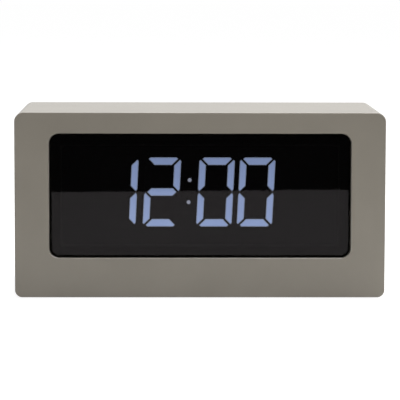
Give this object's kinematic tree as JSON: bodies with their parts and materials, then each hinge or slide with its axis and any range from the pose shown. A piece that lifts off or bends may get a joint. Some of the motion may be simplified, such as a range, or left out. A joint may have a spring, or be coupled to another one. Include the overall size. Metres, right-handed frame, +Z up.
{
  "type": "digital led desk clock",
  "caption": "Box-shaped desk clock with a smoked front window over a lit segment display, buttons, a slide switch and a hinged battery door on the back, and rubber feet.",
  "frame": {"origin": "on the table, under the middle of the box, at the height of the feet's lowest faces", "axes": "+Z up, -Y out of the display, +X to the right of someone who reads the display"},
  "size_m": [0.16, 0.075, 0.0809],
  "materials": {
    "housing_plastic": "soft matt moulded plastic, warm grey",
    "lens_acrylic": "smoked acrylic, polished",
    "tape": "black adhesive tape",
    "foam": "black closed-cell foam",
    "display_black": "black display block",
    "segment_lit": "diffusing resin, lit pale blue",
    "segment_unlit": "diffusing resin, dark",
    "led_chip": "phosphor chip",
    "board_green": "solder mask over glass fibre board",
    "chip_black": "moulded chip package",
    "tin": "tinned steel can",
    "capacitor_sleeve": "shrink sleeve",
    "buzzer_plastic": "moulded",
    "screw_steel": "zinc plated",
    "screw_black": "black oxide",
    "switch_plastic": "moulded",
    "button_plastic": "moulded, satin",
    "plunger_plastic": "natural nylon",
    "inlet_shell": "nickel plated shell",
    "inlet_tongue": "moulded",
    "ribbon_grey": "flat cable insulation",
    "header_white": "nylon header",
    "lead_red": "insulation",
    "lead_black": "insulation",
    "cover_plastic": "fine textured moulded plastic, dark",
    "cell_wrap": "printed shrink wrap, plain",
    "contact_nickel": "nickel plated spring steel",
    "foot_rubber": "soft black rubber"
  },
  "bodies": {
    "case": {"battery_cell_1": "cell_wrap", "battery_cell_2": "cell_wrap", "battery_cell_3": "cell_wrap", "battery_connector": "header_white", "battery_contacts": "contact_nickel", "battery_lead_black": "lead_black", "battery_lead_red": "lead_red", "battery_springs": "contact_nickel", "board_screws": "screw_steel", "buzzer": "buzzer_plastic", "clock_crystal": "tin", "colon_dots": "segment_lit", "digit_1_lit": "segment_lit", "digit_1_unlit": "segment_unlit", "digit_2_lit": "segment_lit", "digit_2_unlit": "segment_unlit", "digit_3_lit": "segment_lit", "digit_3_unlit": "segment_unlit", "digit_4_lit": "segment_lit", "digit_4_unlit": "segment_unlit", "display_board": "board_green", "display_driver": "chip_black", "display_reflector": "display_black", "display_ribbon": "ribbon_grey", "display_screws": "screw_steel", "filter_capacitors": "capacitor_sleeve", "foot_front_left": "foot_rubber", "foot_front_right": "foot_rubber", "foot_rear_left": "foot_rubber", "foot_rear_right": "foot_rubber", "front_housing": "housing_plastic", "led_chips": "led_chip", "lens": "lens_acrylic", "lens_tape": "tape", "light_seal": "foam", "main_board": "board_green", "microcontroller": "chip_black", "rear_cover": "cover_plastic", "rear_screws": "screw_black", "ribbon_connectors": "header_white", "slide_switch_body": "tin", "tact_switch_bodies": "switch_plastic", "usb_inlet_shell": "inlet_shell", "usb_inlet_tongue": "inlet_tongue", "voltage_regulator": "chip_black"},
    "door": {"battery_door": "cover_plastic", "door_foam_pad": "foam"},
    "alarm_knob": {"slide_switch_knob": "button_plastic"},
    "set_button": {"button_set": "button_plastic", "plunger_set": "plunger_plastic"},
    "up_button": {"button_up": "button_plastic", "plunger_up": "plunger_plastic"},
    "down_button": {"button_down": "button_plastic", "plunger_down": "plunger_plastic"},
    "dim_button": {"button_dim": "button_plastic", "plunger_dim": "plunger_plastic"}
  },
  "joints": [
    {"name": "set_press", "type": "slide", "parent": "case", "child": "set_button", "axis": [0, -1, 0], "range_m": [0, 0.0008], "stiffness_N_per_m": 300, "springref_m": -0.0015},
    {"name": "up_press", "type": "slide", "parent": "case", "child": "up_button", "axis": [0, -1, 0], "range_m": [0, 0.0008], "stiffness_N_per_m": 300, "springref_m": -0.0015},
    {"name": "down_press", "type": "slide", "parent": "case", "child": "down_button", "axis": [0, -1, 0], "range_m": [0, 0.0008], "stiffness_N_per_m": 300, "springref_m": -0.0015},
    {"name": "dim_press", "type": "slide", "parent": "case", "child": "dim_button", "axis": [0, -1, 0], "range_m": [0, 0.0008], "stiffness_N_per_m": 300, "springref_m": -0.0015},
    {"name": "alarm_slide", "type": "slide", "parent": "case", "child": "alarm_knob", "axis": [1, 0, 0], "range_m": [0, 0.002]},
    {"name": "door_hinge", "type": "hinge", "parent": "case", "child": "door", "pos_m": [-0.03495, 0.0347, 0.0089], "axis": [-1, 0, 0], "range_deg": [0, 90]}
  ]
}
